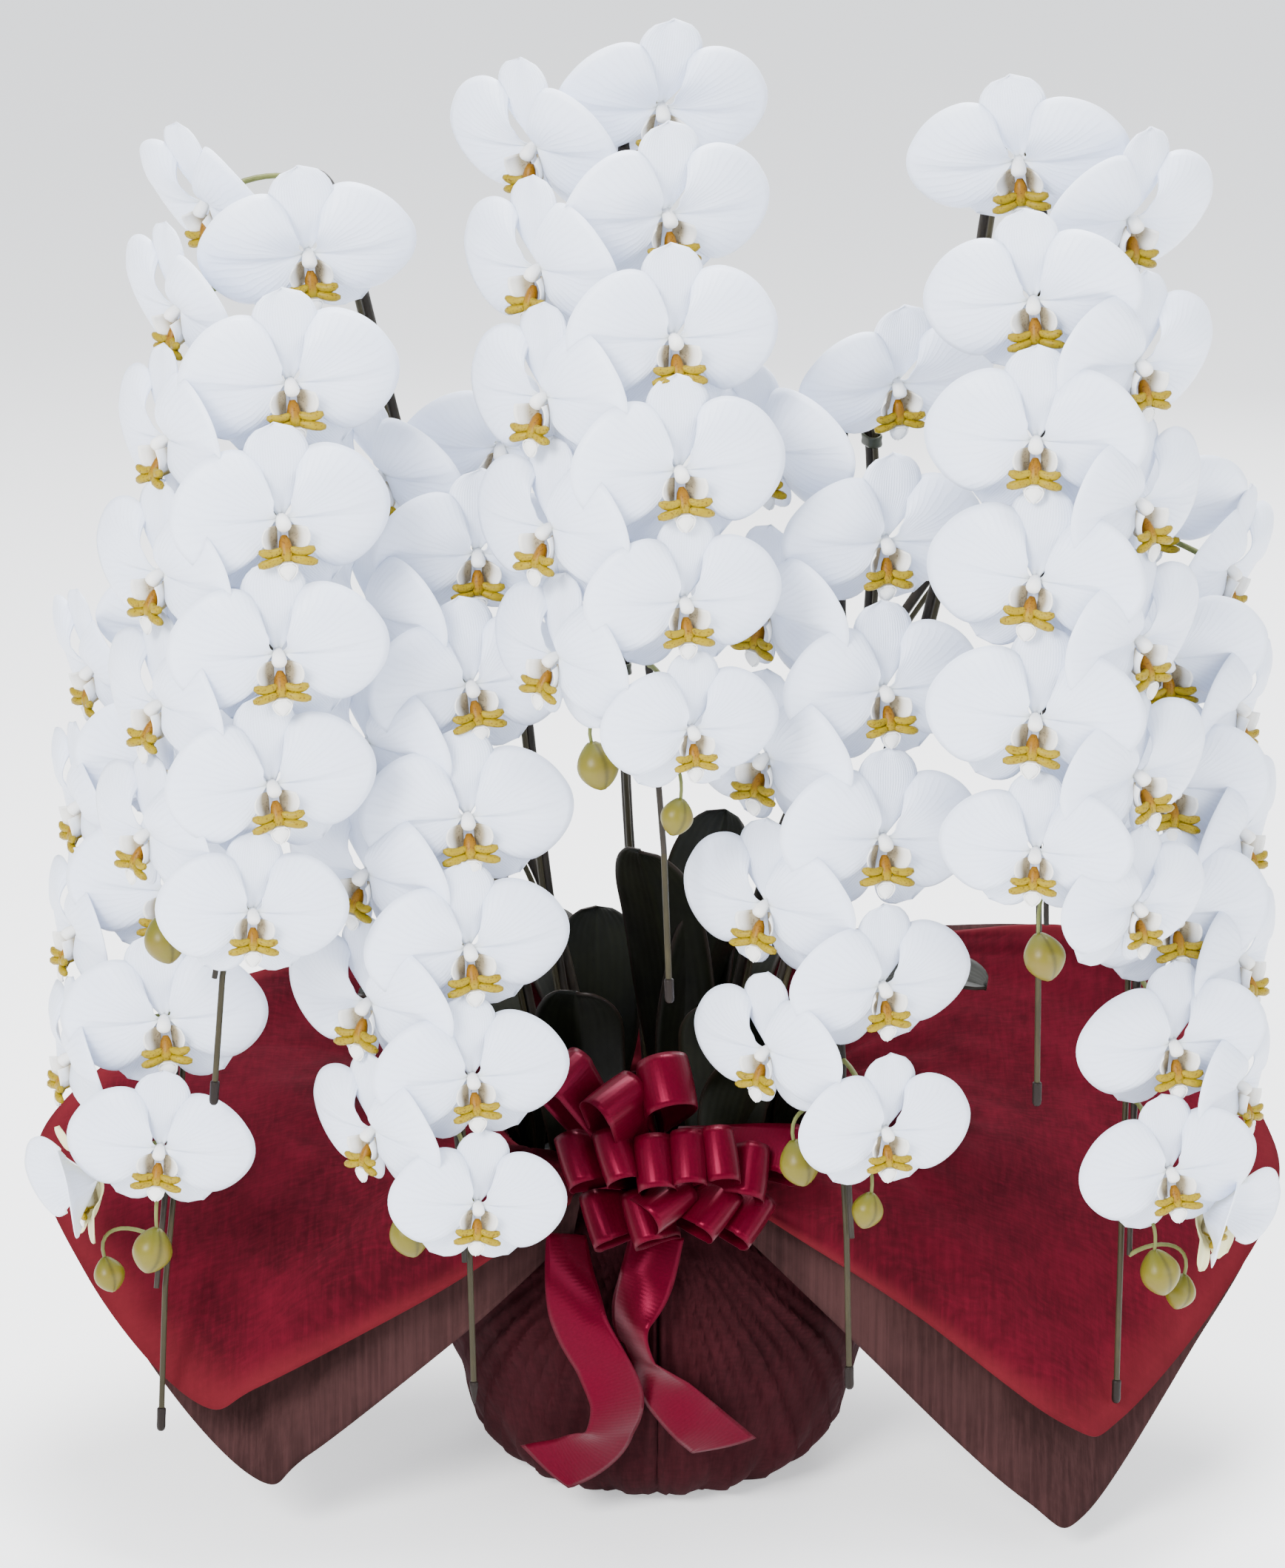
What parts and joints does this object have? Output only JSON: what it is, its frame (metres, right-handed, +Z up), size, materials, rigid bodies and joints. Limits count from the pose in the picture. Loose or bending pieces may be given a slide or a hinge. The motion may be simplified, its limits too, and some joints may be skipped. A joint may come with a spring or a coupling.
{
  "type": "potted orchid",
  "caption": "Gift-wrapped pot of moth orchids: arching flower spikes tied to support wires, strap leaves, a cloth-wrapped round pot, a flared cloth collar and a satin ribbon bow with tails",
  "frame": {"origin": "centre of the wrapped pot's flat underside, on the floor", "axes": "+Z up along the pot's axis; -Y is the front, which the blooms face and where the bow is; +X is the viewer's right"},
  "size_m": [0.7732, 0.4534, 0.8968],
  "materials": {
    "flower": "soft satin petals",
    "leaf": "waxy",
    "wire": "satin coated wire",
    "cap": "matte",
    "clip": "satin",
    "moss": "rough fibre",
    "pot": "plain glaze",
    "wrap": "matte non-woven cloth",
    "red_sheet": "matte non-woven cloth",
    "brown_sheet": "matte non-woven cloth",
    "ribbon": "satin"
  },
  "bodies": {
    "root": {"pot_wrap": "wrap", "ceramic_pot": "pot", "growing_moss": "moss", "red_collar_sheet": "red_sheet", "brown_collar_sheet": "brown_sheet", "ribbon_tie": "ribbon", "ribbon_bow": "ribbon", "ribbon_tail_left": "ribbon", "ribbon_tail_right": "ribbon", "flower_spike_left_tall": "flower", "support_wire_left_tall": "wire", "wire_cap_left_tall": "cap", "spike_clip_left_tall_1": "clip", "spike_clip_left_tall_2": "clip", "leaf_fan_left_tall": "leaf", "flower_spike_left_low": "flower", "support_wire_left_low": "wire", "wire_cap_left_low": "cap", "spike_clip_left_low_1": "clip", "spike_clip_left_low_2": "clip", "leaf_fan_left_low": "leaf", "flower_spike_left_inner": "flower", "support_wire_left_inner": "wire", "wire_cap_left_inner": "cap", "spike_clip_left_inner_1": "clip", "spike_clip_left_inner_2": "clip", "leaf_fan_left_inner": "leaf", "flower_spike_centre": "flower", "support_wire_centre": "wire", "wire_cap_centre": "cap", "spike_clip_centre_1": "clip", "spike_clip_centre_2": "clip", "leaf_fan_centre": "leaf", "flower_spike_right_inner": "flower", "support_wire_right_inner": "wire", "wire_cap_right_inner": "cap", "spike_clip_right_inner_1": "clip", "spike_clip_right_inner_2": "clip", "leaf_fan_right_inner": "leaf", "flower_spike_right_tall": "flower", "support_wire_right_tall": "wire", "wire_cap_right_tall": "cap", "spike_clip_right_tall_1": "clip", "spike_clip_right_tall_2": "clip", "leaf_fan_right_tall": "leaf", "flower_spike_right_low": "flower", "support_wire_right_low": "wire", "wire_cap_right_low": "cap", "spike_clip_right_low_1": "clip", "spike_clip_right_low_2": "clip", "leaf_fan_right_low": "leaf"}
  },
  "joints": []
}
